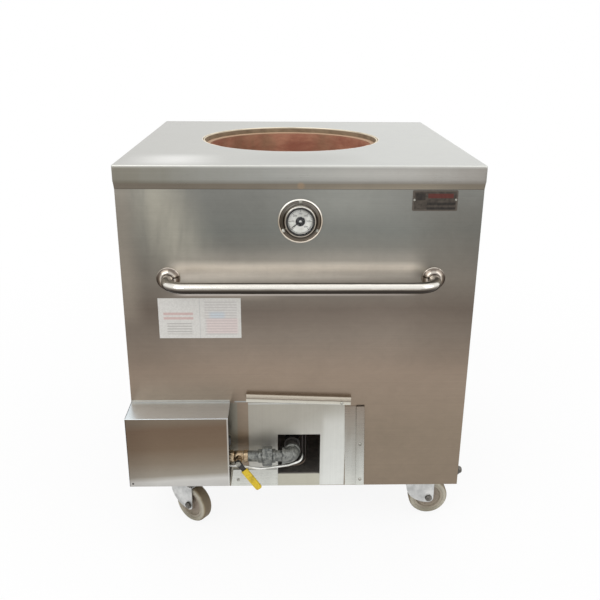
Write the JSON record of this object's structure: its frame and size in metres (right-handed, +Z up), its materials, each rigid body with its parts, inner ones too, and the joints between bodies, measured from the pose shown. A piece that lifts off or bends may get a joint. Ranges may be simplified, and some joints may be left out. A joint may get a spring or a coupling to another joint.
{
  "type": "gas tandoor oven",
  "caption": "Square steel cabinet on swivel casters holding a clay oven pot, with a top mouth, front grab bar, dial thermometer, gas valve with lever and burner port.",
  "frame": {"origin": "on the floor, under the middle of the cooker's width and depth", "axes": "+X to the right seen from the front, +Y to the back, +Z up"},
  "size_m": [0.8398, 0.8952, 0.9398],
  "materials": {
    "deck_steel": "brushed stainless, bright",
    "collar_seal": "pale fibre sealing ring",
    "fired_clay": "matte fired clay, sooted",
    "mineral_wool": "loose mineral wool",
    "front_steel": "brushed stainless",
    "panel_steel": "brushed stainless",
    "frame_steel": "primed mild steel",
    "polished_steel": "polished stainless",
    "black_enamel": "black enamel",
    "dial_white": "white printed dial",
    "black_plastic": "black moulded",
    "gauge_glass": "clear",
    "plate_metal": "dark printed foil",
    "label_paper": "coated paper",
    "screw_steel": "plated",
    "cover_steel": "brushed stainless",
    "black_casting": "black painted casting",
    "black_iron": "black malleable iron",
    "fitting_brass": "machined brass",
    "yellow_plastic": "dipped vinyl sleeve",
    "burner_iron": "cast iron",
    "scorched_steel": "heat-tinted steel",
    "tube_aluminium": "drawn tube",
    "copper_lead": "copper capillary",
    "galvanised": "bright galvanised sheet",
    "rail_steel": "folded stainless strip",
    "zinc_plate": "bright zinc plate",
    "wheel_core": "moulded wheel centre",
    "tyre_rubber": "grey-beige thermoplastic rubber"
  },
  "bodies": {
    "cabinet": {"deck": "deck_steel", "mouth_collar": "collar_seal", "clay_pot": "fired_clay", "insulation": "mineral_wool", "front_panel": "front_steel", "rear_panel": "panel_steel", "side_panels": "panel_steel", "body_frame": "frame_steel", "base_pan": "frame_steel", "pot_support": "frame_steel", "frame_cap_nuts": "polished_steel", "handle_bar": "polished_steel", "handle_flanges": "polished_steel", "thermometer_flange": "polished_steel", "thermometer_case": "black_enamel", "thermometer_dial": "dial_white", "thermometer_lens": "gauge_glass", "rating_plate": "plate_metal", "info_label": "label_paper", "panel_fasteners": "screw_steel", "control_box_cover": "cover_steel", "gas_control_valve": "black_casting", "gas_inlet_pipe": "black_iron", "pipe_union": "black_iron", "pipe_elbow": "black_iron", "brass_adapter": "fitting_brass", "ball_valve_body": "fitting_brass", "burner_mixer_tube": "burner_iron", "burner_head": "burner_iron", "flame_spreader": "scorched_steel", "pilot_burner": "scorched_steel", "pilot_tube": "tube_aluminium", "thermocouple": "copper_lead", "shield_plate": "galvanised", "top_rail": "rail_steel", "side_rail": "rail_steel", "access_bracket": "rail_steel", "caster_plates": "zinc_plate", "caster_bolts": "zinc_plate"},
    "needle": {"thermometer_pointer": "black_plastic"},
    "knob": {"gas_control_knob": "black_plastic"},
    "lever": {"valve_lever": "black_casting", "lever_sleeve": "yellow_plastic", "valve_stem_nut": "screw_steel"},
    "front_left_swivel": {"front_left_fork": "zinc_plate", "front_left_axle": "zinc_plate"},
    "front_left_roller": {"front_left_wheel": "wheel_core", "front_left_tyre": "tyre_rubber"},
    "front_right_swivel": {"front_right_fork": "zinc_plate", "front_right_axle": "zinc_plate"},
    "front_right_roller": {"front_right_wheel": "wheel_core", "front_right_tyre": "tyre_rubber"},
    "rear_left_swivel": {"rear_left_fork": "zinc_plate", "rear_left_axle": "zinc_plate"},
    "rear_left_roller": {"rear_left_wheel": "wheel_core", "rear_left_tyre": "tyre_rubber"},
    "rear_right_swivel": {"rear_right_fork": "zinc_plate", "rear_right_axle": "zinc_plate"},
    "rear_right_roller": {"rear_right_wheel": "wheel_core", "rear_right_tyre": "tyre_rubber"}
  },
  "joints": [
    {"name": "needle_turn", "type": "hinge", "parent": "cabinet", "child": "needle", "pos_m": [0, -0.36765, 0.817], "axis": [0, 1, 0], "range_deg": [0, 270], "stiffness_Nm_per_rad": 0.002},
    {"name": "knob_turn", "type": "hinge", "parent": "cabinet", "child": "knob", "pos_m": [-0.19, -0.40265, 0.284], "axis": [1, 0, 0], "range_deg": [0, 180]},
    {"name": "lever_turn", "type": "hinge", "parent": "cabinet", "child": "lever", "pos_m": [-0.146, -0.43265, 0.242], "axis": [0, 1, 0], "range_deg": [-55, 35]},
    {"name": "front_left_swivel_turn", "type": "hinge", "parent": "cabinet", "child": "front_left_swivel", "pos_m": [-0.3049, -0.28845, 0.118], "axis": [0, 0, 1], "continuous": true},
    {"name": "front_left_wheel_spin", "type": "hinge", "parent": "front_left_swivel", "child": "front_left_roller", "pos_m": [-0.2718, -0.31431, 0.0508], "axis": [0.6157, 0.788, 0], "continuous": true},
    {"name": "front_right_swivel_turn", "type": "hinge", "parent": "cabinet", "child": "front_right_swivel", "pos_m": [0.3049, -0.28845, 0.118], "axis": [0, 0, 1], "continuous": true},
    {"name": "front_right_wheel_spin", "type": "hinge", "parent": "front_right_swivel", "child": "front_right_roller", "pos_m": [0.3469, -0.28845, 0.0508], "axis": [0, 1, 0], "continuous": true},
    {"name": "rear_left_swivel_turn", "type": "hinge", "parent": "cabinet", "child": "rear_left_swivel", "pos_m": [-0.3049, 0.37095, 0.118], "axis": [0, 0, 1], "continuous": true},
    {"name": "rear_left_wheel_spin", "type": "hinge", "parent": "rear_left_swivel", "child": "rear_left_roller", "pos_m": [-0.26653, 0.38803, 0.0508], "axis": [-0.4067, 0.9135, 0], "continuous": true},
    {"name": "rear_right_swivel_turn", "type": "hinge", "parent": "cabinet", "child": "rear_right_swivel", "pos_m": [0.3049, 0.37095, 0.118], "axis": [0, 0, 1], "continuous": true},
    {"name": "rear_right_wheel_spin", "type": "hinge", "parent": "rear_right_swivel", "child": "rear_right_roller", "pos_m": [0.34565, 0.36079, 0.0508], "axis": [0.2419, 0.9703, 0], "continuous": true}
  ]
}
